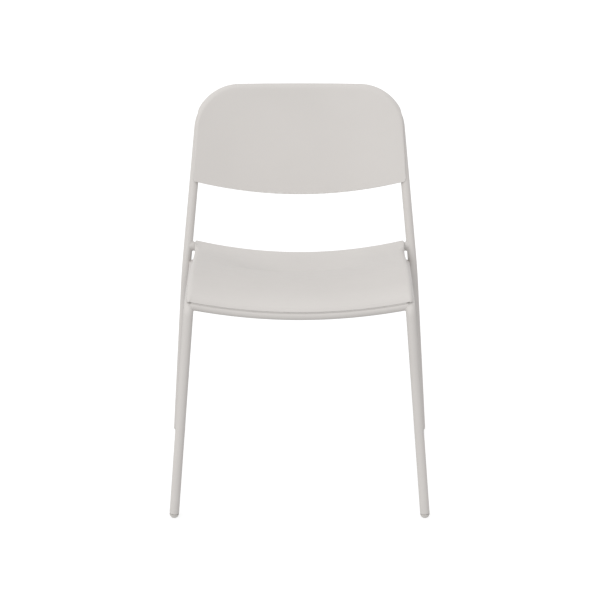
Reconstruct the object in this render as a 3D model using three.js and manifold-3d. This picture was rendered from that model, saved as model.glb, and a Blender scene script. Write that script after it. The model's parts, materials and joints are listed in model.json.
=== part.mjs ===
// Stacking chair: a bent tube frame with a pressed seat pan and a pressed back shell.
// Millimetres, +Z up. The chair faces -Y. The origin is on the floor, at the middle of the chair's box.
// Lengths along Y are first measured from the front feet. The whole chair is centred at the end.

import * as THREE from 'three';
import { mergeVertices } from 'three/addons/utils/BufferGeometryUtils.js';
import Module from 'manifold-3d';

const wasm = await Module();
wasm.setup();

// Tube stock, sheet stock and clearances
const TUBE_RADIUS = 9.5;
const TUBE_WALL = 1.5;
const GAP = 0.3;
const SHEET = 1.5;

// Rear frame: the legs lean forwards up to a bend below the seat, then the posts lean back
const REAR_FOOT = { x: 278.3, y: 500 };
const BEND = { x: 247.3, y: 415, z: 400, radius: 150 };
const BACK_LEAN = THREE.MathUtils.degToRad(15);
const POST_TAPER = 0.0922;
const HOOP_Z = 780;
const HOOP_RADIUS = 88;
const BACK_BOW = 20;

// Front frames: the leg turns into the side rail, which runs back to the rear leg
const FRONT_FOOT = { x: 250, y: 0 };
const RAIL_FRONT = { x: 213, y: 4, z: 443 };
const RAIL_REAR = { x: 230, y: 420, z: 416 };
const LEG_BEND_RADIUS = 24;

// Cross rails, both bowed down to follow the dished seat
const FRONT_RAIL = { x: 211, y: 12, z: 437.1, drop: 20.6 };
const REAR_RAIL = { x: 241, y: 430, z: 454.5, drop: 30 };

// Seat pan
const PAN_HALF_WIDTH = 217;
const PAN_FLARE = 0.019;
const PAN_FRONT_Y = 3.6;
const PAN_REAR_Y = 435;
const PAN_DISH = 21.8;
const PAN_DISH_GAIN = 4.5;
const PAN_CORNER = 6;
const PAN_ROLL = 8;
const LIP_ANGLE = THREE.MathUtils.degToRad(42);
const SKIRT_NOTCH = { start: 360, end: 418 };
const HOLLOW = { depth: 19, halfWidth: 190, start: 228, full: 288, fade: 305, end: 408 };

// Back shell
const SHELL_LOW_Z = 593.5;
const SHELL_BOTTOM_Z = 556.8;
const SHELL_BOTTOM_ARC = 835;
const SHELL_BOTTOM_X = 222;
const SHELL_GAP = 0.9;
const SHELL_WRAP = { low: 6, high: 30, top: 115, startZ: 715, fullZ: 755 };

// Foot glides
const PAD_FLAT_RADIUS = 4;
const FOOT_HEIGHT = Math.sqrt(TUBE_RADIUS ** 2 - PAD_FLAT_RADIUS ** 2);
const PAD_SEAM = 5;
const STEM = { length: 22, chamfer: 1 };
const PEG = { radius: 3, length: 4 };
const FLOOR_BLOCK = { width: 60, depth: 20 };

// Fixings: a tab on the tube, a threaded boss on the sheet, and a screw through the tab
const TAB = { width: 24, thickness: 3, reach: 22, tip: 9 };
const SCREW = { radius: 2.5, length: 10, socketRadius: 1.6, socketDepth: 1.6 };
const SCREW_HEAD = { radius: 5, crownRadius: 3.5, height: 2.8 };
const BOSS = { radius: 6, thread: 9, sides: 6 };
const SEAT_FIXINGS = { front: 110, rear: 330, bossLength: 45 };
const BACK_FIXING = { z: 640, offset: -5, bossLength: 16 };

// Fineness of the round and curved surfaces
const TUBE_SIDES = 24;
const BORE_SIDES = 10;
const LATHE_SIDES = 16;
const DOME_STEPS = 5;
const REAR_BEND_STEPS = 5;
const HOOP_STEPS = 10;
const HOOP_BAR_STEPS = 4;
const LEG_BEND_STEPS = 8;
const CROSS_RAIL_STEPS = 12;
const PAN_ROWS = 33;
const PAN_COLUMNS = 16;
const PAN_ROLL_STEPS = 3;
const SHELL_ROWS = 9;
const SHELL_WRAP_STEPS = 4;
const SHELL_POST_STEPS = 6;
const SHELL_BAR_STEPS = 6;
const MERGE_DISTANCE = 1e-4;

const UP = new THREE.Vector3(0, 0, 1);
const SHEET_OUTSIDE = TUBE_RADIUS + SHELL_GAP + SHEET;
const BACK_UP = new THREE.Vector3(0, Math.sin(BACK_LEAN), Math.cos(BACK_LEAN));
const BACK_FRONT = new THREE.Vector3(0, -Math.cos(BACK_LEAN), Math.sin(BACK_LEAN));
const SIDES = { left: -1, right: 1 };

const PAINT = { color: 0xd3cfcb, roughness: 0.62, metalness: 0.05 };
const GLIDE_PLASTIC = { color: 0xc9c5c1, roughness: 0.5, metalness: 0 };
const PAD_PLASTIC = { color: 0xdad7d3, roughness: 0.7, metalness: 0 };
const STEEL = { color: 0xb4b4b2, roughness: 0.35, metalness: 0.9 };

const smooth = (x) => THREE.MathUtils.smoothstep(x, 0, 1);
const mirrored = (point) => new THREE.Vector3(-point.x, point.y, point.z);

// Points from one end to the other, from the first step to the last, where the last is the far end.
const stepsBetween = (from, to, first, last) =>
  Array.from({ length: last - first + 1 }, (_, i) => from.clone().lerp(to, (first + i) / last));

// ---------- solids ----------

// Merges shared points, drops triangles without area and turns the faces outwards.
function closedOf(geometry) {
  const bare = geometry.clone();
  bare.deleteAttribute('normal');
  bare.deleteAttribute('uv');
  const merged = mergeVertices(bare, MERGE_DISTANCE);
  const position = merged.attributes.position;
  const corner = (i) => new THREE.Vector3().fromBufferAttribute(position, i);
  const triangles = [];
  let volume = 0;
  for (let i = 0; i < merged.index.count; i += 3) {
    const [a, b, c] = merged.index.array.slice(i, i + 3);
    if (a === b || b === c || c === a) continue;
    triangles.push([a, b, c]);
    volume += corner(a).dot(corner(b).cross(corner(c)));
  }
  const outward = volume > 0 ? triangles : triangles.map(([a, b, c]) => [a, c, b]);
  merged.setIndex(outward.flat());
  merged.computeVertexNormals();
  return merged;
}

function solidOf(geometry) {
  const closed = closedOf(geometry);
  return new wasm.Manifold(new wasm.Mesh({
    numProp: 3,
    vertProperties: new Float32Array(closed.attributes.position.array),
    triVerts: new Uint32Array(closed.index.array),
  }));
}

function geometryOf(solid) {
  const { vertProperties, triVerts } = solid.getMesh();
  const geometry = new THREE.BufferGeometry();
  geometry.setAttribute('position', new THREE.BufferAttribute(vertProperties, 3));
  geometry.setIndex(new THREE.BufferAttribute(triVerts, 1));
  geometry.computeVertexNormals();
  return geometry;
}

// Cuts every tool away from a geometry and keeps the largest piece that is left.
function cut(geometry, ...tools) {
  const left = tools.reduce((solid, tool) => solid.subtract(solidOf(tool)), solidOf(geometry));
  const pieces = left.decompose();
  pieces.sort((a, b) => b.volume() - a.volume());
  return geometryOf(pieces[0]);
}

function pieceOf(name, geometry, look) {
  const mesh = new THREE.Mesh(closedOf(geometry), new THREE.MeshStandardMaterial(look));
  mesh.name = name;
  return mesh;
}

// ---------- tubes ----------

// A curve through chosen stations, so that straights take one step and bends take several.
class StationCurve extends THREE.Curve {
  constructor(stations) {
    super();
    this.stations = stations;
  }

  getPoint(t, target = new THREE.Vector3()) {
    const place = t * (this.stations.length - 1);
    const index = Math.min(Math.floor(place), this.stations.length - 2);
    return target.lerpVectors(this.stations[index], this.stations[index + 1], place - index);
  }

  getTangent(t, target = new THREE.Vector3()) {
    const last = this.stations.length - 1;
    const nearest = Math.round(t * last);
    const before = this.stations[Math.max(nearest - 1, 0)];
    const after = this.stations[Math.min(nearest + 1, last)];
    return target.subVectors(after, before).normalize();
  }

  getUtoTmapping(u) {
    return u;
  }
}

// Stations of a bend of the given radius, at a corner between two straights.
function bendStations(before, corner, after, radius, steps) {
  const back = before.clone().sub(corner).normalize();
  const ahead = after.clone().sub(corner).normalize();
  const half = back.angleTo(ahead) / 2;
  const start = corner.clone().addScaledVector(back, radius / Math.tan(half));
  const middle = back.clone().add(ahead).normalize();
  const centre = corner.clone().addScaledVector(middle, radius / Math.sin(half));
  const arm = start.sub(centre);
  const axis = ahead.clone().cross(back).normalize();
  const turn = Math.PI - 2 * half;
  return Array.from({ length: steps + 1 }, (_, i) =>
    arm.clone().applyAxisAngle(axis, (turn * i) / steps).add(centre));
}

function ringOf(radius, sides) {
  const spoke = new THREE.Vector2(radius, 0);
  const hub = new THREE.Vector2();
  return Array.from({ length: sides }, (_, i) => spoke.clone().rotateAround(hub, (2 * Math.PI * i) / sides));
}

// A tube, or a solid bar when no bore is given.
function tubeAlong(stations, outer, bore = 0) {
  const section = new THREE.Shape(ringOf(outer, TUBE_SIDES));
  if (bore) section.holes.push(new THREE.Path(ringOf(bore, BORE_SIDES)));
  return new THREE.ExtrudeGeometry(section, {
    steps: stations.length - 1,
    extrudePath: new StationCurve(stations),
  });
}

const frameTube = (stations) => tubeAlong(stations, TUBE_RADIUS, TUBE_RADIUS - TUBE_WALL);
const clearanceOf = (stations) => tubeAlong(stations, TUBE_RADIUS + GAP);

// ---------- sheet metal ----------

function gridNormal(grid, i, j) {
  const rows = grid.length - 1;
  const columns = grid[0].length - 1;
  const along = grid[Math.min(i + 1, rows)][j].clone().sub(grid[Math.max(i - 1, 0)][j]);
  const across = grid[i][Math.min(j + 1, columns)].clone().sub(grid[i][Math.max(j - 1, 0)]);
  return along.cross(across).normalize();
}

// A closed sheet: the grid is its outer face, and its inner face lies one thickness behind.
function sheetOf(grid, thickness) {
  const rows = grid.length;
  const columns = grid[0].length;
  const inner = grid.map((row, i) => row.map((point, j) =>
    point.clone().addScaledVector(gridNormal(grid, i, j), -thickness)));
  const points = [...grid.flat(), ...inner.flat()];
  const index = [];
  const at = (layer, i, j) => layer * rows * columns + i * columns + j;
  const quad = (a, b, c, d) => index.push(a, b, c, a, c, d);
  for (let i = 0; i < rows - 1; i += 1) {
    for (let j = 0; j < columns - 1; j += 1) {
      quad(at(0, i, j), at(0, i + 1, j), at(0, i + 1, j + 1), at(0, i, j + 1));
      quad(at(1, i, j), at(1, i, j + 1), at(1, i + 1, j + 1), at(1, i + 1, j));
    }
    quad(at(0, i, 0), at(1, i, 0), at(1, i + 1, 0), at(0, i + 1, 0));
    quad(at(0, i, columns - 1), at(0, i + 1, columns - 1), at(1, i + 1, columns - 1), at(1, i, columns - 1));
  }
  for (let j = 0; j < columns - 1; j += 1) {
    quad(at(0, 0, j), at(0, 0, j + 1), at(1, 0, j + 1), at(1, 0, j));
    quad(at(0, rows - 1, j), at(1, rows - 1, j), at(1, rows - 1, j + 1), at(0, rows - 1, j + 1));
  }
  const geometry = new THREE.BufferGeometry().setFromPoints(points);
  geometry.setIndex(index);
  geometry.computeVertexNormals();
  return geometry;
}

// ---------- rear frame ----------

const postX = (z) => BEND.x - POST_TAPER * (z - BEND.z);
const postY = (z) => BEND.y + (z - BEND.z) * Math.tan(BACK_LEAN);

// How far the hoop and the back shell are set back between the posts.
const bowAt = (x, z) => BACK_BOW * Math.max(0, 1 - (x / postX(z)) ** 2);
const bowed = (point) => point.clone().setY(point.y + bowAt(point.x, point.z));

const rearFoot = new THREE.Vector3(REAR_FOOT.x, REAR_FOOT.y, FOOT_HEIGHT);
const rearBend = new THREE.Vector3(BEND.x, BEND.y, BEND.z);
const hoopCorner = new THREE.Vector3(postX(HOOP_Z), postY(HOOP_Z), HOOP_Z);
const hoopMiddle = new THREE.Vector3(0, postY(HOOP_Z), HOOP_Z);

function hoopStations() {
  const corner = bendStations(rearBend, hoopCorner, hoopMiddle, HOOP_RADIUS, HOOP_STEPS);
  const end = corner[corner.length - 1];
  return [...corner, ...stepsBetween(end, hoopMiddle, 1, HOOP_BAR_STEPS)].map(bowed);
}

function rearLegStations() {
  const bend = bendStations(rearFoot, rearBend, hoopCorner, BEND.radius, REAR_BEND_STEPS);
  return [rearFoot, ...bend];
}

function rearFrameStations() {
  const half = [...rearLegStations(), ...hoopStations()];
  return [...half, ...half.slice(0, -1).reverse().map(mirrored)];
}

function rearLegClearance(side) {
  const stations = [...rearLegStations(), hoopCorner];
  return clearanceOf(side > 0 ? stations : stations.map(mirrored));
}

// ---------- front frames and cross rails ----------

const sideRailZ = (y) => THREE.MathUtils.mapLinear(y, RAIL_FRONT.y, RAIL_REAR.y, RAIL_FRONT.z, RAIL_REAR.z);
const sideRailX = (y) => THREE.MathUtils.mapLinear(y, RAIL_FRONT.y, RAIL_REAR.y, RAIL_FRONT.x, RAIL_REAR.x);

function frontFrameStations(side) {
  const foot = new THREE.Vector3(FRONT_FOOT.x, FRONT_FOOT.y, FOOT_HEIGHT);
  const corner = new THREE.Vector3(RAIL_FRONT.x, RAIL_FRONT.y, RAIL_FRONT.z);
  const end = new THREE.Vector3(RAIL_REAR.x, RAIL_REAR.y, RAIL_REAR.z);
  const stations = [foot, ...bendStations(foot, corner, end, LEG_BEND_RADIUS, LEG_BEND_STEPS), end];
  return side > 0 ? stations : stations.map(mirrored);
}

const railZ = (rail, x) => rail.z - rail.drop * (1 - (x / rail.x) ** 2);

function crossRailStations(rail) {
  return Array.from({ length: CROSS_RAIL_STEPS + 1 }, (_, i) => {
    const x = THREE.MathUtils.lerp(-rail.x, rail.x, i / CROSS_RAIL_STEPS);
    return new THREE.Vector3(x, rail.y, railZ(rail, x));
  });
}

function frameParts() {
  const parts = [pieceOf('rear_frame', frameTube(rearFrameStations()), PAINT)];
  for (const [name, side] of Object.entries(SIDES)) {
    const tube = cut(frameTube(frontFrameStations(side)), rearLegClearance(side));
    parts.push(pieceOf(`front_frame_${name}`, tube, PAINT));
  }
  const frontCuts = Object.values(SIDES).map((side) => clearanceOf(frontFrameStations(side)));
  const rearCuts = Object.values(SIDES).map(rearLegClearance);
  const frontRail = cut(frameTube(crossRailStations(FRONT_RAIL)), ...frontCuts);
  const rearRail = cut(frameTube(crossRailStations(REAR_RAIL)), ...rearCuts);
  parts.push(pieceOf('front_cross_rail', frontRail, PAINT));
  parts.push(pieceOf('rear_cross_rail', rearRail, PAINT));
  return parts;
}

// ---------- seat pan ----------

// Crown of the pan's side edge, from the front lip, over the thigh roll, to the rear rim.
const panCrown = new THREE.SplineCurve([
  new THREE.Vector2(PAN_FRONT_Y, 446),
  new THREE.Vector2(9, 454.5),
  new THREE.Vector2(26, 463),
  new THREE.Vector2(66, 470.5),
  new THREE.Vector2(138, 474),
  new THREE.Vector2(224, 469),
  new THREE.Vector2(315, 460.5),
  new THREE.Vector2(355, 457),
  new THREE.Vector2(390, 456.3),
  new THREE.Vector2(410, 458.3),
  new THREE.Vector2(422, 461),
  new THREE.Vector2(430, 462.4),
  new THREE.Vector2(PAN_REAR_Y, 462.6),
]);

const panEdgeX = (y) => PAN_HALF_WIDTH + PAN_FLARE * y;

// How far a corner of the given radius pulls the edge in, at a distance from the end of the pan.
const cornerInset = (distance, radius) =>
  (distance < radius ? radius - Math.sqrt(radius ** 2 - (radius - distance) ** 2) : 0);

function panHalfWidth(y) {
  const front = cornerInset(y - PAN_FRONT_Y, PAN_CORNER);
  const rear = cornerInset(PAN_REAR_Y - y, PAN_CORNER / 2);
  return panEdgeX(y) - front - rear;
}

function hollowAt(x, y) {
  const across = Math.cos(Math.min(Math.abs(x) / HOLLOW.halfWidth, 1) * (Math.PI / 2)) ** 2;
  const into = smooth((y - HOLLOW.start) / (HOLLOW.full - HOLLOW.start));
  const out = 1 - smooth((y - HOLLOW.fade) / (HOLLOW.end - HOLLOW.fade));
  return HOLLOW.depth * across * into * out;
}

function panZ(x, y, crownZ) {
  const dish = PAN_DISH + (PAN_DISH_GAIN * y) / PAN_REAR_Y;
  return crownZ - dish * (1 - (x / panEdgeX(y)) ** 2) - hollowAt(x, y);
}

// Bottom of the pan's side skirt: on the leg's bend in front, on the side rail, and up over the rear rail.
function skirtZ(y) {
  const reach = TUBE_RADIUS + GAP;
  const bendY = RAIL_FRONT.y + LEG_BEND_RADIUS;
  const bendZ = sideRailZ(bendY) - LEG_BEND_RADIUS;
  const ahead = Math.max(bendY - y, 0);
  const overBend = bendZ + Math.sqrt(Math.max((LEG_BEND_RADIUS + reach + GAP) ** 2 - ahead ** 2, 0));
  const lip = railZ(FRONT_RAIL, PAN_HALF_WIDTH) + (reach + GAP) * Math.sin(LIP_ANGLE);
  const notch = smooth((y - SKIRT_NOTCH.start) / (SKIRT_NOTCH.end - SKIRT_NOTCH.start));
  const onRail = y < bendY ? Math.max(overBend, lip) : sideRailZ(y) + reach + GAP;
  const aboveRear = railZ(REAR_RAIL, panEdgeX(y)) + reach + 2 * GAP;
  return THREE.MathUtils.lerp(onRail, aboveRear, notch);
}

function panRow(t) {
  const { x: y, y: crownZ } = panCrown.getPoint(t);
  const half = panHalfWidth(y);
  const bottom = skirtZ(y);
  const roll = THREE.MathUtils.clamp(crownZ - bottom - GAP, GAP, PAN_ROLL);
  const flat = half - roll;
  const edge = [];
  const shoulder = Math.max(panZ(flat, y, crownZ), bottom + roll + GAP / 2);
  for (let i = 1; i <= PAN_ROLL_STEPS; i += 1) {
    const angle = ((Math.PI / 2) * i) / PAN_ROLL_STEPS;
    const z = shoulder - roll * (1 - Math.cos(angle));
    edge.push(new THREE.Vector3(flat + roll * Math.sin(angle), y, z));
  }
  edge.push(new THREE.Vector3(half, y, bottom));
  const top = Array.from({ length: PAN_COLUMNS + 1 }, (_, i) => {
    const x = THREE.MathUtils.lerp(-flat, flat, i / PAN_COLUMNS);
    return new THREE.Vector3(x, y, panZ(x, y, crownZ));
  });
  return [...edge.map(mirrored).reverse(), ...top, ...edge];
}

function panGrid() {
  return Array.from({ length: PAN_ROWS + 1 }, (_, i) => panRow(i / PAN_ROWS));
}

// ---------- back shell ----------

// The wrap angle around the tube grows from the shell's low corners to the top of the hoop.
function wrapAngle(z) {
  const rise = (z - SHELL_LOW_Z) / (SHELL_WRAP.startZ - SHELL_LOW_Z);
  const side = THREE.MathUtils.lerp(SHELL_WRAP.low, SHELL_WRAP.high, THREE.MathUtils.clamp(rise, 0, 1));
  const over = smooth((z - SHELL_WRAP.startZ) / (SHELL_WRAP.fullZ - SHELL_WRAP.startZ));
  return THREE.MathUtils.degToRad(THREE.MathUtils.lerp(side, SHELL_WRAP.top, over));
}

// Stations of the hoop, before it is bowed, from the shell's low corner to the top middle.
function shellEdgeStations() {
  const low = new THREE.Vector3(postX(SHELL_LOW_Z), postY(SHELL_LOW_Z), SHELL_LOW_Z);
  const corner = bendStations(rearBend, hoopCorner, hoopMiddle, HOOP_RADIUS, HOOP_STEPS);
  const post = stepsBetween(low, corner[0], 0, SHELL_POST_STEPS).slice(0, -1);
  const end = corner[corner.length - 1];
  return [...post, ...corner, ...stepsBetween(end, hoopMiddle, 1, SHELL_BAR_STEPS)];
}

function shellBottom(x) {
  const arc = SHELL_BOTTOM_ARC - Math.sqrt(SHELL_BOTTOM_ARC ** 2 - x ** 2);
  const z = SHELL_BOTTOM_Z + arc * Math.cos(BACK_LEAN);
  return new THREE.Vector3(x, postY(z), z);
}

// One line of the shell, from its wrapped edge, over the front of the tube, to the bottom edge.
function shellLine(station, outward, bottomX) {
  const centre = bowed(station);
  const wrap = wrapAngle(station.z);
  const line = [];
  for (let i = SHELL_WRAP_STEPS; i >= 0; i -= 1) {
    const angle = (wrap * i) / SHELL_WRAP_STEPS;
    line.push(centre.clone()
      .addScaledVector(outward, SHEET_OUTSIDE * Math.sin(angle))
      .addScaledVector(BACK_FRONT, SHEET_OUTSIDE * Math.cos(angle)));
  }
  const bottom = shellBottom(bottomX);
  for (let i = 1; i <= SHELL_ROWS; i += 1) {
    const point = bowed(station.clone().lerp(bottom, i / SHELL_ROWS));
    line.push(point.addScaledVector(BACK_FRONT, SHEET_OUTSIDE));
  }
  return line;
}

function shellGrid() {
  const stations = shellEdgeStations();
  const last = stations.length - 1;
  const half = stations.map((station, i) => {
    const before = stations[Math.max(i - 1, 0)];
    const after = stations[Math.min(i + 1, last)];
    const outward = after.clone().sub(before).normalize().cross(BACK_FRONT);
    return shellLine(station, outward, SHELL_BOTTOM_X * (1 - i / last));
  });
  const left = half.slice(0, -1).map((line) => line.map(mirrored));
  return [...half, ...left.reverse()];
}

// ---------- pieces placed along an axis ----------

// Turns a geometry made along +Z to the given axis and moves it to its place.
function placed(geometry, origin, axis) {
  geometry.applyQuaternion(new THREE.Quaternion().setFromUnitVectors(UP, axis));
  return geometry.translate(origin.x, origin.y, origin.z);
}

// Revolves an outline of [radius, height] points about +Z.
function turned(outline) {
  const points = outline.map(([radius, height]) => new THREE.Vector2(radius, height));
  return new THREE.LatheGeometry(points, LATHE_SIDES).rotateX(Math.PI / 2);
}

function roundBar(radius, from, to, sides = LATHE_SIDES) {
  const bar = new THREE.CylinderGeometry(radius, radius, to - from, sides);
  return bar.rotateX(Math.PI / 2).translate(0, 0, (from + to) / 2);
}

// ---------- feet ----------

// Points on the glide's sphere between two heights below its centre.
function domeOutline(fromHeight, toHeight) {
  return Array.from({ length: DOME_STEPS + 1 }, (_, i) => {
    const height = THREE.MathUtils.lerp(fromHeight, toHeight, i / DOME_STEPS);
    return [Math.sqrt(Math.max(TUBE_RADIUS ** 2 - height ** 2, 0)), height];
  });
}

function footPlug() {
  const stem = TUBE_RADIUS - TUBE_WALL - 2 * GAP;
  const seam = GAP - PAD_SEAM;
  const hole = PEG.radius + GAP;
  return turned([
    [0, seam + PEG.length],
    [hole, seam + PEG.length],
    [hole, seam],
    ...domeOutline(seam, -GAP),
    [stem, -GAP],
    [stem, STEM.length - STEM.chamfer],
    [stem - STEM.chamfer, STEM.length],
    [0, STEM.length],
  ]);
}

function footPad() {
  const peg = PEG.length - PAD_SEAM;
  return turned([
    ...domeOutline(-TUBE_RADIUS, -PAD_SEAM),
    [PEG.radius, -PAD_SEAM],
    [PEG.radius, peg - GAP],
    [0, peg - GAP],
  ]);
}

function footParts() {
  const { width, depth } = FLOOR_BLOCK;
  const floor = new THREE.BoxGeometry(width, width, depth).translate(0, 0, -depth / 2);
  const legs = { front: frontFrameStations(1), rear: rearFrameStations() };
  return Object.entries(legs).flatMap(([end, stations]) =>
    Object.entries(SIDES).flatMap(([hand, side]) => {
      const [foot, next] = side > 0 ? stations : stations.slice(0, 2).map(mirrored);
      const axis = next.clone().sub(foot).normalize();
      const ground = floor.clone().translate(foot.x, foot.y, 0);
      return [
        pieceOf(`foot_plug_${end}_${hand}`, placed(footPlug(), foot, axis), GLIDE_PLASTIC),
        pieceOf(`foot_pad_${end}_${hand}`, cut(placed(footPad(), foot, axis), ground), PAD_PLASTIC),
      ];
    }));
}

// ---------- fixings ----------

function screw() {
  const socketFloor = SCREW.socketDepth - SCREW_HEAD.height;
  return turned([
    [0, socketFloor],
    [SCREW.socketRadius, socketFloor],
    [SCREW.socketRadius, -SCREW_HEAD.height],
    [SCREW_HEAD.crownRadius, -SCREW_HEAD.height],
    [SCREW_HEAD.radius, -SCREW_HEAD.height / 2],
    [SCREW_HEAD.radius, 0],
    [SCREW.radius, 0],
    [SCREW.radius, SCREW.length],
    [0, SCREW.length],
  ]);
}

// A tab on the inner side of a tube, the boss that hangs from the sheet above it, and their screw.
// The axis points from the tab to the sheet.
function fixingParts(name, onTube, side, axis, bossLength, tube, sheet) {
  const origin = onTube.clone().setX(onTube.x - side * TAB.reach);
  const length = TAB.reach + TAB.tip;
  const plate = new THREE.BoxGeometry(length, TAB.width, TAB.thickness);
  plate.translate(side * (length / 2 - TAB.tip), 0, -TAB.thickness / 2);
  const hole = SCREW.radius + GAP;
  const clearHole = placed(roundBar(hole, -2 * TAB.thickness, TAB.thickness), origin, axis);
  const thread = placed(roundBar(hole, 0, BOSS.thread), origin, axis);
  const boss = placed(roundBar(BOSS.radius, GAP, bossLength, BOSS.sides), origin, axis);
  const head = origin.clone().addScaledVector(axis, -TAB.thickness - GAP);
  return [
    pieceOf(`${name}_tab`, cut(placed(plate, origin, axis), tube, clearHole), PAINT),
    pieceOf(`${name}_boss`, cut(boss, sheet, thread), PAINT),
    pieceOf(`${name}_screw`, placed(screw(), head, axis), STEEL),
  ];
}

function seatFixings() {
  const sheet = sheetOf(panGrid(), SHEET + GAP);
  return Object.entries(SIDES).flatMap(([hand, side]) =>
    ['front', 'rear'].flatMap((end) => {
      const y = SEAT_FIXINGS[end];
      const onTube = new THREE.Vector3(side * sideRailX(y), y, sideRailZ(y));
      const tube = clearanceOf(frontFrameStations(side));
      return fixingParts(`seat_${end}_${hand}`, onTube, side, UP, SEAT_FIXINGS.bossLength, tube, sheet);
    }));
}

function backFixings() {
  const sheet = sheetOf(shellGrid(), SHEET + GAP);
  return Object.entries(SIDES).flatMap(([hand, side]) => {
    const { z, offset, bossLength } = BACK_FIXING;
    const onTube = new THREE.Vector3(side * postX(z), postY(z), z).addScaledVector(BACK_FRONT, offset);
    return fixingParts(`back_${hand}`, onTube, side, BACK_FRONT, bossLength, rearLegClearance(side), sheet);
  });
}

// ---------- chair ----------

const chair = new THREE.Group();
chair.add(
  ...frameParts(),
  pieceOf('seat_pan', sheetOf(panGrid(), SHEET), PAINT),
  pieceOf('back_shell', sheetOf(shellGrid(), SHEET), PAINT),
  ...footParts(),
  ...seatFixings(),
  ...backFixings(),
);
chair.position.y = -new THREE.Box3().setFromObject(chair).getCenter(new THREE.Vector3()).y;

export default chair;
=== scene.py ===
"""Stacking chair: a powder-coated tube frame with a pressed seat pan and a pressed back shell.

Lengths are written in millimetres, measured along Y from the front feet, and become metres in the
CAD frame when a mesh is made. The chair faces -Y.
"""
import json
import math

import bmesh
import bpy
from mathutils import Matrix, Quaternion, Vector


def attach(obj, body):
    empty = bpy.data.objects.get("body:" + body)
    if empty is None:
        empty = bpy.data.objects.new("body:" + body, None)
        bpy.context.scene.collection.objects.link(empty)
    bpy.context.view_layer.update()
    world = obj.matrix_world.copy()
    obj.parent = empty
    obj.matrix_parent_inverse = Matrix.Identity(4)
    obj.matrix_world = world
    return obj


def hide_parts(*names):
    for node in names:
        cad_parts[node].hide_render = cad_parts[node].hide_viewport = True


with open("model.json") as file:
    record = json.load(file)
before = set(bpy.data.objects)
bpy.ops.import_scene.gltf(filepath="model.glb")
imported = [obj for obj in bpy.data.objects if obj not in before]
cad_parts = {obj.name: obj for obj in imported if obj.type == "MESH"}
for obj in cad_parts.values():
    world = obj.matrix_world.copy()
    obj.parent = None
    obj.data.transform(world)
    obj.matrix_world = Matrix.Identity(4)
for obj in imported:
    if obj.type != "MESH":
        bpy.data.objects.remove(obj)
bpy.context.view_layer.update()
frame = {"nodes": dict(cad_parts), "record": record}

MM = 0.001
MOUNTS = {mount["name"]: mount["pos_m"] for mount in frame["record"]["mounts"]}
FEET_Y = MOUNTS["floor_pad_front_left"][1]
SIDES = {"left": -1, "right": 1}
UP = Vector((0, 0, 1))

# Stock
TUBE = 9.5
TUBE_WALL = 1.5
GAP = 0.3
SHEET = 1.5

# Rear frame
REAR_FOOT = (278.3, 500)
BEND = {"x": 247.3, "y": 415, "z": 400, "radius": 150}
BACK_LEAN = math.radians(15)
POST_TAPER = 0.0922
HOOP_Z = 780
HOOP_RADIUS = 88
BACK_BOW = 20

# Front frames and cross rails
FRONT_FOOT = (250, 0)
RAIL_FRONT = Vector((213, 4, 443))
RAIL_REAR = Vector((230, 420, 416))
LEG_BEND_RADIUS = 24
FRONT_RAIL = {"x": 211, "y": 12, "z": 437.1, "drop": 20.6}
REAR_RAIL = {"x": 241, "y": 430, "z": 454.5, "drop": 30}

# Seat pan
PAN_HALF_WIDTH = 217
PAN_FLARE = 0.019
PAN_FRONT_Y = 3.6
PAN_REAR_Y = 435
PAN_DISH = 21.8
PAN_DISH_GAIN = 4.5
PAN_CORNER = 6
PAN_ROLL = 8
LIP_ANGLE = math.radians(42)
SKIRT_NOTCH = (360, 418)
SEAM = {"radius": 1.0, "reach": 10.45, "below": 2.5, "half": 208}
HOLLOW = {"depth": 19, "half": 190, "start": 228, "full": 288, "fade": 305, "end": 408}
PAN_CROWN = [
    (PAN_FRONT_Y, 446), (9, 454.5), (26, 463), (66, 470.5), (138, 474), (224, 469),
    (315, 460.5), (355, 457), (390, 456.3), (410, 458.3), (422, 461), (430, 462.4), (PAN_REAR_Y, 462.6),
]

# Back shell
SHELL_LOW_Z = 593.5
SHELL_BOTTOM_Z = 556.8
SHELL_BOTTOM_ARC = 835
SHELL_BOTTOM_X = 222
SHELL_OUTSIDE = TUBE + 0.9 + SHEET
SHELL_WRAP = {"low": 6, "high": 30, "top": 115, "start": 715, "full": 755}

# Feet and fixings
PAD_FLAT_RADIUS = 4
FOOT_HEIGHT = math.sqrt(TUBE ** 2 - PAD_FLAT_RADIUS ** 2)
PAD_SEAM = 5
PLUG = {"length": 22, "chamfer": 1}
PAD_LIP = 0.985
PAD_WORN = 2

# Welds, and how far the fixings' edges are rounded
WELD = {"front_rail": 3.0, "rear_rail": 4.0, "side_rail": 3.0, "root": 2, "fade": 5}
ROUNDED = {"tab": 0.5, "boss": 0.4, "screw": 0.25}

# Stage, in metres and degrees
FLOOR_HALF = 60
FLOOR_GLOW = 0.66
SKY = {"below": 0.66, "horizon": 0.86, "zenith": 0.98, "side": 0.06}
SUN = {"strength": 0.8, "spread": 35, "travel": (0.5, 0.85, -0.55)}
CAMERA = {"distance": 3.0, "height": 1.2890, "pitch": 15.617, "lens": 97.22, "shift": 0.0007}

BACK_FRONT = Vector((0, -math.cos(BACK_LEAN), math.sin(BACK_LEAN)))


def clamp(x, low=0.0, high=1.0):
    return max(low, min(high, x))


def lerp(a, b, t):
    return a + (b - a) * t


def smooth(x):
    t = clamp(x)
    return t * t * (3 - 2 * t)


def mirrored(p):
    return Vector((-p.x, p.y, p.z))


def steps(a, b, count, first=0):
    return [a.lerp(b, i / count) for i in range(first, count + 1)]


# ---------- materials ----------

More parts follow.
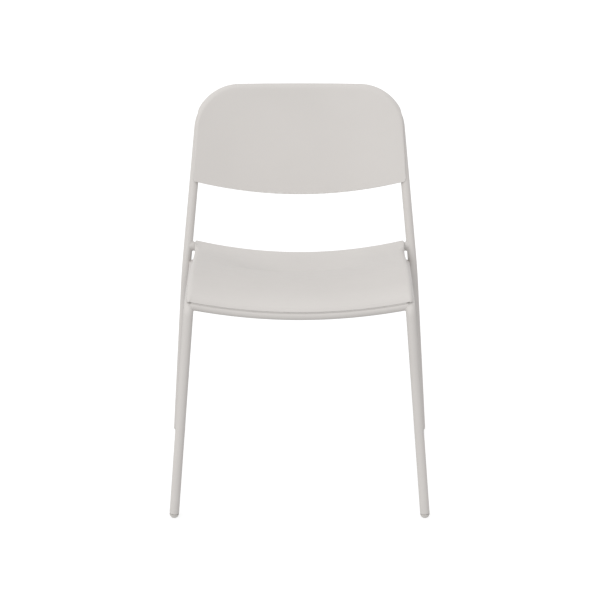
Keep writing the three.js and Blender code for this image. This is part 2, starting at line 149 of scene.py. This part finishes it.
class Nodes:
    """A material's node tree, with short calls for the nodes that the finishes share."""

    def __init__(self, name):
        self.material = bpy.data.materials.new(name)
        self.material.use_nodes = True
        self.tree = self.material.node_tree
        self.tree.nodes.clear()
        self.shader = self.add("ShaderNodeBsdfPrincipled")
        output = self.add("ShaderNodeOutputMaterial")
        self.link(self.shader.outputs["BSDF"], output.inputs["Surface"])
        self.where = self.add("ShaderNodeTexCoord").outputs["Object"]

    def add(self, kind):
        return self.tree.nodes.new(kind)

    def link(self, out, into):
        self.tree.links.new(out, into)

    def noise(self, scale, detail=3.0, rough=0.5):
        node = self.add("ShaderNodeTexNoise")
        node.inputs["Scale"].default_value = scale
        node.inputs["Detail"].default_value = detail
        node.inputs["Roughness"].default_value = rough
        self.link(self.where, node.inputs["Vector"])
        return node.outputs["Fac"]

    def cells(self, scale):
        node = self.add("ShaderNodeTexVoronoi")
        node.feature = "SMOOTH_F1"
        node.inputs["Scale"].default_value = scale
        self.link(self.where, node.inputs["Vector"])
        return node.outputs["Distance"]

    def spread(self, value, low, high, to_low=0.0, to_high=1.0):
        node = self.add("ShaderNodeMapRange")
        node.inputs["From Min"].default_value = low
        node.inputs["From Max"].default_value = high
        node.inputs["To Min"].default_value = to_low
        node.inputs["To Max"].default_value = to_high
        self.link(value, node.inputs["Value"])
        return node.outputs["Result"]

    def times(self, a, b):
        node = self.add("ShaderNodeMath")
        node.operation = "MULTIPLY"
        self.link(a, node.inputs[0])
        self.link(b, node.inputs[1])
        return node.outputs[0]

    def plus(self, a, b):
        node = self.add("ShaderNodeMath")
        node.operation = "ADD"
        self.link(a, node.inputs[0])
        self.link(b, node.inputs[1])
        return node.outputs[0]

    def mix(self, factor, a, b):
        node = self.add("ShaderNodeMix")
        node.data_type = "RGBA"
        self.link(factor, node.inputs["Factor"])
        for socket, colour in (("A", a), ("B", b)):
            into = next(s for s in node.inputs if s.name == socket and s.type == "RGBA")
            if isinstance(colour, tuple):
                into.default_value = (*colour, 1)
            else:
                self.link(colour, into)
        return next(s for s in node.outputs if s.type == "RGBA")

    def attribute(self, name):
        node = self.add("ShaderNodeAttribute")
        node.attribute_name = name
        return node.outputs["Fac"]

    def bump(self, height, strength, distance, under=None):
        node = self.add("ShaderNodeBump")
        node.inputs["Strength"].default_value = strength
        node.inputs["Distance"].default_value = distance
        self.link(height, node.inputs["Height"])
        if under is not None:
            self.link(under, node.inputs["Normal"])
        return node.outputs["Normal"]

    def finish(self, colour, roughness, normal):
        self.link(colour, self.shader.inputs["Base Color"])
        self.link(roughness, self.shader.inputs["Roughness"])
        self.link(normal, self.shader.inputs["Normal"])
        return self.material


def powder_coat(name, tint, worn):
    """Fine matte powder coat: a dense orange-peel grain, a soft colour drift and rubbed edges."""
    n = Nodes(name)
    drift = n.spread(n.noise(5, 2), 0.35, 0.65)
    body = n.mix(drift, tuple(c * 0.985 for c in tint), tuple(c * 1.015 for c in tint))
    grain = n.noise(1500, 2)
    fleck = n.spread(grain, 0.62, 0.74)
    body = n.mix(fleck, body, tuple(c * 1.03 for c in tint))
    patchy = n.spread(n.noise(160, 4, 0.6), 0.42, 0.62)
    rub = n.times(n.attribute("edge"), patchy)
    colour = n.mix(rub, body, worn)
    roughness = n.plus(n.spread(n.noise(60, 3), 0.3, 0.7, 0.50, 0.58), n.spread(rub, 0, 1, 0, -0.1))
    peel = n.bump(n.noise(420, 2), 0.10, 0.0006)
    return n.finish(colour, roughness, n.bump(grain, 0.16, 0.0003, peel))


def moulded(name, tint, scuffed, rough):
    """Moulded plastic: a fine spark texture, faint flow drift and scuffs near its edges."""
    n = Nodes(name)
    drift = n.spread(n.noise(40, 2), 0.3, 0.7)
    body = n.mix(drift, tuple(c * 0.97 for c in tint), tuple(c * 1.03 for c in tint))
    scuff = n.times(n.attribute("edge"), n.spread(n.noise(520, 4, 0.7), 0.45, 0.6))
    colour = n.mix(scuff, body, scuffed)
    roughness = n.spread(n.noise(300, 3), 0.3, 0.7, rough - 0.05, rough + 0.07)
    spark = n.bump(n.cells(1800), 0.12, 0.0003)
    return n.finish(colour, roughness, n.bump(n.noise(90, 2), 0.08, 0.0004, spark))


def plated_steel(name, tint, dull):
    """Zinc-plated steel: turned rings, a cloudy passivated film and brighter edges."""
    n = Nodes(name)
    n.shader.inputs["Metallic"].default_value = 1.0
    cloud = n.spread(n.noise(420, 4, 0.6), 0.35, 0.65)
    body = n.mix(cloud, tint, dull)
    rub = n.times(n.attribute("edge"), n.spread(n.noise(700, 3), 0.4, 0.6))
    colour = n.mix(rub, body, (0.82, 0.82, 0.8))
    roughness = n.spread(n.noise(900, 3), 0.3, 0.7, 0.28, 0.42)
    return n.finish(colour, roughness, n.bump(n.noise(2400, 2), 0.1, 0.0002))


PAINT = powder_coat("powder_coat", (0.600, 0.575, 0.553), (0.70, 0.685, 0.66))
GLIDE = moulded("glide_plastic", (0.570, 0.548, 0.522), (0.46, 0.445, 0.425), 0.42)
PAD = moulded("pad_plastic", (0.640, 0.620, 0.594), (0.50, 0.48, 0.46), 0.58)
STEEL = plated_steel("screw_steel", (0.60, 0.60, 0.59), (0.46, 0.46, 0.45))


# ---------- pieces ----------

def in_frame(p):
    return Vector((p.x * MM, p.y * MM + FEET_Y, p.z * MM))


def piece(name, points, faces, material, nodes=(), edge=None, angle=40):
    """A mesh object from points in millimetres. edge says how exposed to wear each point is."""
    mesh = bpy.data.meshes.new(name)
    mesh.from_pydata([in_frame(p) for p in points], [], faces)
    return finished(name, mesh, material, nodes, edge, angle)


def finished(name, mesh, material, nodes, edge, angle):
    bm = bmesh.new()
    bm.from_mesh(mesh)
    bmesh.ops.recalc_face_normals(bm, faces=bm.faces)
    bm.to_mesh(mesh)
    bm.free()
    mesh.update()
    wear = mesh.attributes.new("edge", "FLOAT", "POINT")
    if edge:
        wear.data.foreach_set("value", edge)
    mesh.polygons.foreach_set("use_smooth", [True] * len(mesh.polygons))
    mesh.set_sharp_from_angle(angle=math.radians(angle))
    obj = bpy.data.objects.new(name, mesh)
    bpy.context.scene.collection.objects.link(obj)
    mesh.materials.append(material)
    if nodes:
        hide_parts(*nodes)
    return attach(obj, "root")


# ---------- tubes ----------

def bend(before, corner, after, radius, count):
    """Points of a bend of the given radius between two straights."""
    back = (before - corner).normalized()
    ahead = (after - corner).normalized()
    half = back.angle(ahead) / 2
    start = corner + back * (radius / math.tan(half))
    centre = corner + (back + ahead).normalized() * (radius / math.sin(half))
    axis = ahead.cross(back).normalized()
    turn = math.pi - 2 * half
    arm = start - centre
    return [Quaternion(axis, turn * i / count) @ arm + centre for i in range(count + 1)]


def rings(path, radius, sides):
    """Circles square to a path, carried along it without twist. radius may change along the path."""
    tangents = []
    for i in range(len(path)):
        tangents.append((path[min(i + 1, len(path) - 1)] - path[max(i - 1, 0)]).normalized())
    normal = tangents[0].orthogonal().normalized()
    made = []
    for i, (p, tangent) in enumerate(zip(path, tangents)):
        if i:
            normal = tangents[i - 1].rotation_difference(tangent) @ normal
        normal = (normal - tangent * normal.dot(tangent)).normalized()
        across = tangent.cross(normal)
        r = radius[i] if isinstance(radius, list) else radius
        made.append([
            p + (normal * math.cos(a) + across * math.sin(a)) * r
            for a in (2 * math.pi * k / sides for k in range(sides))
        ])
    return made


def skin(loops, closed_ends=True, joined=False):
    """Faces over rings of equal size, with a centre point at each end, or joined end to end."""
    sides = len(loops[0])
    points = [p for loop in loops for p in loop]
    faces = []
    spans = len(loops) if joined else len(loops) - 1
    for i in range(spans):
        after = (i + 1) % len(loops)
        for k in range(sides):
            n = (k + 1) % sides
            faces.append((i * sides + k, i * sides + n, after * sides + n, after * sides + k))
    if closed_ends and not joined:
        for row, order in ((0, -1), (len(loops) - 1, 1)):
            hub = len(points)
            points.append(sum(loops[row], Vector()) / sides)
            for k in range(sides):
                faces.append((row * sides + k, row * sides + (k + 1) % sides, hub)[::order])
    return points, faces


def rounded_ends(path, radius, rounding):
    """Adds stations that turn a tube's two ends in by a small radius."""
    count = 4
    first = (path[0] - path[1]).normalized()
    last = (path[-1] - path[-2]).normalized()
    low, high, low_r, high_r = [], [], [], []
    for i in range(1, count + 1):
        a = math.pi / 2 * i / count
        inset = rounding * (1 - math.sin(a))
        r = radius - rounding * (1 - math.cos(a))
        low.append(path[0] - first * inset)
        high.append(path[-1] - last * inset)
        low_r.append(r)
        high_r.append(r)
    body = [path[0] - first * rounding, *path[1:-1], path[-1] - last * rounding]
    return [*low[::-1], *body, *high], [*low_r[::-1], *[radius] * len(body), *high_r]


def tube(name, path, node, rounding=0.7, sides=48):
    stations, radii = rounded_ends(path, TUBE, rounding)
    points, faces = skin(rings(stations, radii, sides))
    return piece(name, points, faces, PAINT, [node])


def nearest(p, path):
    """Distance from a point to a path."""
    return (closest(p, path)[0] - p).length


def weld_line(branch, main, sides=40):
    """Where the surface of a branch tube, followed along its path, first meets the main tube."""
    loops = rings(branch, TUBE, sides)
    line = []
    for k in range(sides):
        for a, b in zip(loops, loops[1:]):
            if nearest(b[k], main) > TUBE:
                continue
            near, far = a[k], b[k]
            for _ in range(12):
                middle = (near + far) / 2
                near, far = (near, middle) if nearest(middle, main) < TUBE else (middle, far)
            line.append((k, (near + far) / 2))
            break
    return line


def closest(p, path):
    """The point of a path that is nearest to p, and the direction of the path there."""
    best = None
    for a, b in zip(path, path[1:]):
        run = b - a
        q = a + run * clamp((p - a).dot(run) / run.length_squared)
        if best is None or (q - p).length < (best[0] - p).length:
            best = (q, run.normalized())
    return best


def on_tube(p, path, depth=0.12):
    """p moved along the tube's radius until it lies just under the tube's surface."""
    q, _ = closest(p, path)
    return q + (p - q).normalized() * (TUBE - depth)


def weld(name, branch, main, size, count=48, profile=6):
    """A painted-over fillet where a branch tube meets the main tube, open where the tubes part."""
    found = weld_line(branch, main, count)
    whole = len(found) == count
    if not whole:
        held = {k for k, _ in found}
        start = next(i for i, (k, _) in enumerate(found) if (k - 1) % count not in held)
        found = found[start:] + found[:start]
    loops = []
    for i, (_, corner) in enumerate(found):
        fade = 1 if whole else smooth(min(i, len(found) - 1 - i) / WELD["fade"] + 0.2)
        q, run = closest(corner, branch)
        away = (corner - q).normalized()
        low = on_tube(corner - run * size * fade, branch)
        high = on_tube(corner + away * size * fade, main)
        loop = []
        for j in range(profile + 1):
            t = j / profile
            loop.append(low * (1 - t) ** 2 + corner * (2 * t * (1 - t)) + high * t ** 2)
        loop.append(corner + run * WELD["root"] - away * WELD["root"])
        loops.append(loop)
    points, faces = skin(loops, joined=whole)
    return piece(name, points, faces, PAINT, angle=50)


# ---------- frame ----------

def post_x(z):
    return BEND["x"] - POST_TAPER * (z - BEND["z"])


def post_y(z):
    return BEND["y"] + (z - BEND["z"]) * math.tan(BACK_LEAN)


def bowed(p):
    """The hoop and the shell are set back between the posts."""
    return Vector((p.x, p.y + BACK_BOW * max(0, 1 - (p.x / post_x(p.z)) ** 2), p.z))


REAR_START = Vector((*REAR_FOOT, FOOT_HEIGHT))
REAR_CORNER = Vector((BEND["x"], BEND["y"], BEND["z"]))
HOOP_CORNER = Vector((post_x(HOOP_Z), post_y(HOOP_Z), HOOP_Z))
HOOP_MIDDLE = Vector((0, post_y(HOOP_Z), HOOP_Z))
HOOP_BEND = bend(REAR_CORNER, HOOP_CORNER, HOOP_MIDDLE, HOOP_RADIUS, 36)


def rear_path():
    leg = bend(REAR_START, REAR_CORNER, HOOP_CORNER, BEND["radius"], 20)
    lower = steps(REAR_START, leg[0], 12)[:-1]
    post = steps(leg[-1], HOOP_BEND[0], 12)[1:-1]
    hoop = [bowed(p) for p in [*HOOP_BEND, *steps(HOOP_BEND[-1], HOOP_MIDDLE, 16)[1:]]]
    half = [*lower, *leg, *post, *hoop]
    return half + [mirrored(p) for p in half[-2::-1]]


def side_rail_z(y):
    return lerp(RAIL_FRONT.z, RAIL_REAR.z, (y - RAIL_FRONT.y) / (RAIL_REAR.y - RAIL_FRONT.y))


def front_path(side):
    foot = Vector((*FRONT_FOOT, FOOT_HEIGHT))
    corner = bend(foot, RAIL_FRONT, RAIL_REAR, LEG_BEND_RADIUS, 20)
    path = [*steps(foot, corner[0], 12)[:-1], *corner, *steps(corner[-1], RAIL_REAR, 16)[1:]]
    return path if side > 0 else [mirrored(p) for p in path]


def rail_z(rail, x):
    return rail["z"] - rail["drop"] * (1 - (x / rail["x"]) ** 2)


def rail_path(rail, count=48):
    xs = [lerp(-rail["x"], rail["x"], i / count) for i in range(count + 1)]
    return [Vector((x, rail["y"], rail_z(rail, x))) for x in xs]


def build_frame():
    rear = rear_path()
    half = len(rear) // 2 + 1
    legs = {1: rear[:half], -1: rear[half - 1:][::-1]}
    tube("rear_frame_tube", rear, "rear_frame")
    front_rail = rail_path(FRONT_RAIL)
    rear_rail = rail_path(REAR_RAIL)
    for rail, name in ((front_rail, "front_cross_rail"), (rear_rail, "rear_cross_rail")):
        tube(name + "_tube", rail, name)
    for hand, side in SIDES.items():
        front = front_path(side)
        tube(f"front_frame_tube_{hand}", front, f"front_frame_{hand}", rounding=1.6)
        outward = slice(None, None, 1 if side > 0 else -1)
        weld(f"front_rail_weld_{hand}", front_rail[outward], front, WELD["front_rail"])
        weld(f"rear_rail_weld_{hand}", rear_rail[outward], legs[side], WELD["rear_rail"])
        weld(f"side_rail_weld_{hand}", front, legs[side], WELD["side_rail"])


# ---------- sheet metal ----------

def grid_normal(grid, i, j):
    rows, columns = len(grid) - 1, len(grid[0]) - 1
    along = grid[min(i + 1, rows)][j] - grid[max(i - 1, 0)][j]
    across = grid[i][min(j + 1, columns)] - grid[i][max(j - 1, 0)]
    return along.cross(across).normalized()


def border_of(rows, columns):
    """The grid places around a sheet's edge, in order."""
    border = [(0, j) for j in range(columns)]
    border += [(i, columns - 1) for i in range(1, rows)]
    border += [(rows - 1, j) for j in range(columns - 2, -1, -1)]
    return border + [(i, 0) for i in range(rows - 2, 0, -1)]


def away_from_sheet(grid, normals, border):
    """For each place on the border, the direction along the sheet that leaves it."""
    outward = {}
    for i, j in border:
        inside = grid[clamp(i, 1, len(grid) - 2)][clamp(j, 1, len(grid[0]) - 2)]
        away = grid[i][j] - inside
        normal = normals[i][j]
        outward[i, j] = (away - normal * away.dot(normal)).normalized()
    return outward


def layer_faces(rows, columns):
    """Faces of a sheet's outer layer and of the inner layer under it."""
    faces = []
    for i in range(rows - 1):
        for j in range(columns - 1):
            a, b = i * columns + j, (i + 1) * columns + j
            faces.append((a, b, b + 1, a + 1))
            faces.append(tuple(rows * columns + v for v in (a + 1, b + 1, b, a)))
    return faces


def sheet(name, grid, node, rim_steps=4):
    """A sheet with a rounded rim. The grid is its outer face."""
    rows, columns = len(grid), len(grid[0])
    half = SHEET / 2
    normals = [[grid_normal(grid, i, j) for j in range(columns)] for i in range(rows)]
    border = border_of(rows, columns)
    outward = away_from_sheet(grid, normals, border)
    outer = [[p - outward[i, j] * half if (i, j) in outward else p for j, p in enumerate(row)]
             for i, row in enumerate(grid)]
    points = [p for row in outer for p in row]
    points += [p - normals[i][j] * SHEET for i, row in enumerate(outer) for j, p in enumerate(row)]
    faces = layer_faces(rows, columns)
    loops = [[i * columns + j for i, j in border]]
    for k in range(1, rim_steps):
        a = math.pi * k / rim_steps
        loops.append([len(points) + n for n in range(len(border))])
        for i, j in border:
            middle = outer[i][j] - normals[i][j] * half
            points.append(middle + outward[i, j] * half * math.sin(a) + normals[i][j] * half * math.cos(a))
    loops.append([rows * columns + v for v in loops[0]])
    for a, b in zip(loops, loops[1:]):
        for k in range(len(border)):
            n = (k + 1) % len(border)
            faces.append((a[k], a[n], b[n], b[k]))
    wear = [0.0] * len(points)
    for loop in loops:
        for v in loop:
            wear[v] = 1.0
    return piece(name, points, faces, PAINT, [node], wear, 60)


def spline(points, t):
    """Catmull-Rom curve through the points, as the CAD source has it."""
    place = (len(points) - 1) * t
    i = min(int(place), len(points) - 2)
    w = place - i
    last = len(points) - 1
    chosen = [points[max(i - 1, 0)], points[i], points[min(i + 1, last)], points[min(i + 2, last)]]
    out = []
    for p0, p1, p2, p3 in zip(*chosen):
        v0, v1 = (p2 - p0) / 2, (p3 - p1) / 2
        cubic = 2 * p1 - 2 * p2 + v0 + v1
        square = -3 * p1 + 3 * p2 - 2 * v0 - v1
        out.append(cubic * w ** 3 + square * w ** 2 + v0 * w + p1)
    return out


def pan_edge_x(y):
    return PAN_HALF_WIDTH + PAN_FLARE * y


def corner_inset(distance, radius):
    if distance >= radius:
        return 0
    return radius - math.sqrt(radius ** 2 - (radius - max(distance, 0)) ** 2)


def pan_half_width(y):
    front = corner_inset(y - PAN_FRONT_Y, PAN_CORNER)
    rear = corner_inset(PAN_REAR_Y - y, PAN_CORNER / 2)
    return pan_edge_x(y) - front - rear


def hollow_at(x, y):
    """Depth of the hollow behind the fold across the seat."""
    across = math.cos(min(abs(x) / HOLLOW["half"], 1) * math.pi / 2) ** 2
    into = smooth((y - HOLLOW["start"]) / (HOLLOW["full"] - HOLLOW["start"]))
    out = 1 - smooth((y - HOLLOW["fade"]) / (HOLLOW["end"] - HOLLOW["fade"]))
    return HOLLOW["depth"] * across * into * out


def pan_z(x, y, crown):
    dish = PAN_DISH + PAN_DISH_GAIN * y / PAN_REAR_Y
    return crown - dish * (1 - (x / pan_edge_x(y)) ** 2) - hollow_at(x, y)


def skirt_z(y):
    """Bottom of the side skirt: on the leg's bend, along the side rail, and up over the rear rail."""
    reach = TUBE + GAP
    bend_y = RAIL_FRONT.y + LEG_BEND_RADIUS
    bend_z = side_rail_z(bend_y) - LEG_BEND_RADIUS
    ahead = max(bend_y - y, 0)
    over_bend = bend_z + math.sqrt(max((LEG_BEND_RADIUS + reach + GAP) ** 2 - ahead ** 2, 0))
    lip = rail_z(FRONT_RAIL, PAN_HALF_WIDTH) + (reach + GAP) * math.sin(LIP_ANGLE)
    notch = smooth((y - SKIRT_NOTCH[0]) / (SKIRT_NOTCH[1] - SKIRT_NOTCH[0]))
    on_rail = max(over_bend, lip) if y < bend_y else side_rail_z(y) + reach + GAP
    above_rear = rail_z(REAR_RAIL, pan_edge_x(y)) + reach + 2 * GAP
    return lerp(on_rail, above_rear, notch)


def pan_row(t, columns=96, roll_steps=8, skirt_steps=3):
    """One line across the pan, from the left skirt over the top to the right skirt."""
    y, crown = spline(PAN_CROWN, t)
    half = pan_half_width(y)
    bottom = skirt_z(y)
    roll = clamp(crown - bottom - GAP, GAP, PAN_ROLL)
    flat = half - roll
    shoulder = max(pan_z(flat, y, crown), bottom + roll + GAP / 2)
    edge = []
    for i in range(1, roll_steps + 1):
        a = math.pi / 2 * i / roll_steps
        edge.append(Vector((flat + roll * math.sin(a), y, shoulder - roll * (1 - math.cos(a)))))
    edge += steps(edge[-1], Vector((half, y, bottom)), skirt_steps)[1:]
    top = []
    for i in range(columns + 1):
        x = lerp(-flat, flat, i / columns)
        top.append(Vector((x, y, pan_z(x, y, crown))))
    return [mirrored(p) for p in edge[::-1]] + top + edge


def build_pan(rows=132):
    sheet("seat_pan_sheet", [pan_row(i / rows) for i in range(rows + 1)], "seat_pan")


def build_seam():
    """A thin painted bead closes the slot between the seat's front lip and the rail under it."""
    down = LIP_ANGLE - math.radians(SEAM["below"])
    out = Vector((0, -math.cos(down), math.sin(down))) * SEAM["reach"]
    path = [p + out for p in rail_path(FRONT_RAIL, 96) if abs(p.x) < SEAM["half"]]
    stations, radii = rounded_ends(path, SEAM["radius"], SEAM["radius"] / 2)
    points, faces = skin(rings(stations, radii, 16))
    piece("front_seam_bead", points, faces, PAINT)


def wrap_angle(z):
    """How far the shell wraps round the tube. It grows from the low corners to the top."""
    rise = clamp((z - SHELL_LOW_Z) / (SHELL_WRAP["start"] - SHELL_LOW_Z))
    side = lerp(SHELL_WRAP["low"], SHELL_WRAP["high"], rise)
    over = smooth((z - SHELL_WRAP["start"]) / (SHELL_WRAP["full"] - SHELL_WRAP["start"]))
    return math.radians(lerp(side, SHELL_WRAP["top"], over))


def shell_bottom(x):
    arc = SHELL_BOTTOM_ARC - math.sqrt(SHELL_BOTTOM_ARC ** 2 - x ** 2)
    z = SHELL_BOTTOM_Z + arc * math.cos(BACK_LEAN)
    return Vector((x, post_y(z), z))


def shell_line(station, outward, bottom_x, low_corner, wrap_steps=10, rows=44):
    """One line of the shell, from its wrapped edge over the tube to the bottom edge."""
    centre = bowed(station)
    wrap = wrap_angle(station.z)
    line = []
    for i in range(wrap_steps, -1, -1):
        a = wrap * i / wrap_steps
        line.append(centre + (outward * math.sin(a) + BACK_FRONT * math.cos(a)) * SHELL_OUTSIDE)
    bottom = shell_bottom(bottom_x)
    knee = Vector((post_x(bottom.z), bottom.y, bottom.z))
    for i in range(1, rows + 1):
        t = i / rows
        straight = station.lerp(bottom, t)
        round_corner = station * (1 - t) ** 2 + knee * (2 * t * (1 - t)) + bottom * t ** 2
        line.append(bowed(straight.lerp(round_corner, low_corner)) + BACK_FRONT * SHELL_OUTSIDE)
    return line


def build_shell():
    low = Vector((post_x(SHELL_LOW_Z), post_y(SHELL_LOW_Z), SHELL_LOW_Z))
    post = steps(low, HOOP_BEND[0], 30)[:-1]
    stations = [*post, *HOOP_BEND, *steps(HOOP_BEND[-1], HOOP_MIDDLE, 30)[1:]]
    last = len(stations) - 1
    half = []
    for i, station in enumerate(stations):
        run = (stations[min(i + 1, last)] - stations[max(i - 1, 0)]).normalized()
        corner = 1 - smooth(i / 3)
        half.append(shell_line(station, run.cross(BACK_FRONT), SHELL_BOTTOM_X * (1 - i / last), corner))
    left = [[mirrored(p) for p in line] for line in half[:-1]]
    sheet("back_shell_sheet", half + left[::-1], "back_shell")


# ---------- turned pieces ----------

def turned(name, outline, origin, axis, material, nodes, sides=48, ground=False, edge_from=None):
    """Revolves [radius, height] points about an axis through origin. The ends lie on the axis."""
    spin = UP.rotation_difference(axis)
    points, faces, wear = [], [], []
    rows = []
    for radius, height in outline:
        row = []
        for k in range(sides if radius > 0 else 1):
            a = 2 * math.pi * k / sides
            p = spin @ Vector((radius * math.cos(a), radius * math.sin(a), height)) + origin
            if ground:
                p.z = max(p.z, 0)
            row.append(len(points))
            points.append(p)
            wear.append(1.0 if edge_from is not None and height < edge_from else 0.0)
        rows.append(row)
    for a, b in zip(rows, rows[1:]):
        for k in range(sides):
            n = (k + 1) % sides
            corners = [a[k % len(a)], a[n % len(a)], b[n % len(b)], b[k % len(b)]]
            unique = list(dict.fromkeys(corners))
            if len(unique) > 2:
                faces.append(unique)
    return piece(name, points, faces, material, nodes, wear, 45)


def dome(high, low, count=12):
    """Points on the glide's sphere from one height to another."""
    heights = [lerp(high, low, i / count) for i in range(count + 1)]
    return [(math.sqrt(max(TUBE ** 2 - h ** 2, 0)), h) for h in heights]


def build_feet():
    stem = TUBE - TUBE_WALL - 2 * GAP
    seam = -PAD_SEAM
    rear = rear_path()
    for hand, side in SIDES.items():
        for end in ("front", "rear"):
            if end == "front":
                foot, above = front_path(side)[:2]
            else:
                foot, above = (rear[0], rear[1]) if side > 0 else (rear[-1], rear[-2])
            axis = (above - foot).normalized()
            top = PLUG["length"]
            plug = [(0, top), (stem, top - PLUG["chamfer"]), (stem, -GAP)]
            plug += [*dome(-GAP, seam + GAP), (0, seam + GAP)]
            turned(f"foot_glide_{end}_{hand}", plug, foot, axis, GLIDE,
                   [f"foot_plug_{end}_{hand}"])
            lip = TUBE * PAD_LIP
            pad = [(0, seam), (lip * 0.84, seam), *dome(seam - 0.25, -TUBE, 14)]
            turned(f"foot_sole_{end}_{hand}", pad, foot, axis, PAD,
                   [f"foot_pad_{end}_{hand}"], ground=True, edge_from=-TUBE + PAD_WORN)


# ---------- fixings: the CAD shapes with broken edges ----------

def softened(node, name, material, width, segments=2):
    """A copy of a CAD node with its flat faces joined up and its edges rounded."""
    bm = bmesh.new()
    bm.from_mesh(frame["nodes"][node].data)
    bmesh.ops.remove_doubles(bm, verts=bm.verts, dist=1e-6)
    bmesh.ops.dissolve_limit(bm, angle_limit=math.radians(2), verts=bm.verts, edges=bm.edges)
    sharp = [e for e in bm.edges if len(e.link_faces) == 2 and e.calc_face_angle() > math.radians(32)]
    bmesh.ops.bevel(bm, geom=sharp, offset=width * MM, segments=segments, profile=0.6,
                    affect="EDGES", clamp_overlap=True)
    bmesh.ops.triangulate(bm, faces=[f for f in bm.faces if len(f.verts) > 4])
    mesh = bpy.data.meshes.new(name)
    bm.to_mesh(mesh)
    bm.free()
    for layer in [a for a in mesh.attributes if a.name == "edge"]:
        mesh.attributes.remove(layer)
    return finished(name, mesh, material, [node], None, 35)


def build_fixings():
    places = [f"seat_{end}_{hand}" for end in ("front", "rear") for hand in SIDES]
    places += [f"back_{hand}" for hand in SIDES]
    for place in places:
        softened(f"{place}_tab", f"{place}_tab_plate", PAINT, ROUNDED["tab"])
        softened(f"{place}_boss", f"{place}_boss_post", PAINT, ROUNDED["boss"])
        softened(f"{place}_screw", f"{place}_screw_head", STEEL, ROUNDED["screw"])


# ---------- stage ----------

def build_floor():
    mesh = bpy.data.meshes.new("floor")
    signs = ((-1, -1), (1, -1), (1, 1), (-1, 1))
    mesh.from_pydata([(x * FLOOR_HALF, y * FLOOR_HALF, 0) for x, y in signs], [], [(0, 1, 2, 3)])
    floor = bpy.data.objects.new("floor", mesh)
    bpy.context.scene.collection.objects.link(floor)
    n = Nodes("floor_paper")
    colour = n.mix(n.spread(n.noise(2, 2), 0.3, 0.7), (0.39, 0.39, 0.39), (0.41, 0.41, 0.41))
    n.shader.inputs["Emission Color"].default_value = (1, 1, 1, 1)
    n.shader.inputs["Emission Strength"].default_value = FLOOR_GLOW
    roughness = n.spread(n.noise(30, 2), 0.3, 0.7, 0.85, 0.95)
    mesh.materials.append(n.finish(colour, roughness, n.bump(n.noise(300, 2), 0.05, 0.0003)))
    floor.visible_diffuse = False
    floor.visible_glossy = False


def build_camera():
    """The camera stands 3 m in front of the front feet and looks a little down."""
    data = bpy.data.cameras.new("camera")
    data.sensor_width = 36
    data.lens = CAMERA["lens"]
    data.shift_x = CAMERA["shift"]
    camera = bpy.data.objects.new("camera", data)
    camera.location = (0, FEET_Y - CAMERA["distance"], CAMERA["height"])
    camera.rotation_euler = (math.pi / 2 - math.radians(CAMERA["pitch"]), 0, 0)
    bpy.context.scene.collection.objects.link(camera)
    bpy.context.scene.camera = camera


def sky(below, horizon, zenith, side):
    """A studio of soft light: bright above, dim below, and a little brighter on the left."""
    world = bpy.data.worlds.new("studio")
    world.use_nodes = True
    tree = world.node_tree
    split = tree.nodes.new("ShaderNodeSeparateXYZ")
    tree.links.new(tree.nodes.new("ShaderNodeTexCoord").outputs["Generated"], split.inputs["Vector"])
    ramps = []
    for axis, start, end, low, high in (
        ("Z", -0.35, 0.1, below, horizon), ("Z", 0.1, 0.9, 0, zenith - horizon), ("X", -1, 1, side, -side),
    ):
        ramp = tree.nodes.new("ShaderNodeMapRange")
        ramp.interpolation_type = "SMOOTHSTEP"
        for socket, value in (("From Min", start), ("From Max", end), ("To Min", low), ("To Max", high)):
            ramp.inputs[socket].default_value = value
        tree.links.new(split.outputs[axis], ramp.inputs["Value"])
        ramps.append(ramp.outputs["Result"])
    total = ramps[0]
    for other in ramps[1:]:
        plus = tree.nodes.new("ShaderNodeMath")
        tree.links.new(total, plus.inputs[0])
        tree.links.new(other, plus.inputs[1])
        total = plus.outputs[0]
    tree.links.new(total, tree.nodes["Background"].inputs["Strength"])
    tree.nodes["Background"].inputs["Color"].default_value = (1, 1, 1, 1)
    bpy.context.scene.world = world


def build_light():
    sky(**SKY)
    data = bpy.data.lights.new("key", "SUN")
    data.energy = SUN["strength"]
    data.angle = math.radians(SUN["spread"])
    key = bpy.data.objects.new("key", data)
    key.rotation_euler = Vector(SUN["travel"]).to_track_quat("-Z", "Y").to_euler()
    bpy.context.scene.collection.objects.link(key)
    view = bpy.context.scene.view_settings
    view.view_transform = "Standard"
    view.look = "None"


build_camera()
build_light()
build_floor()
build_frame()
build_pan()
build_seam()
build_shell()
build_feet()
build_fixings()
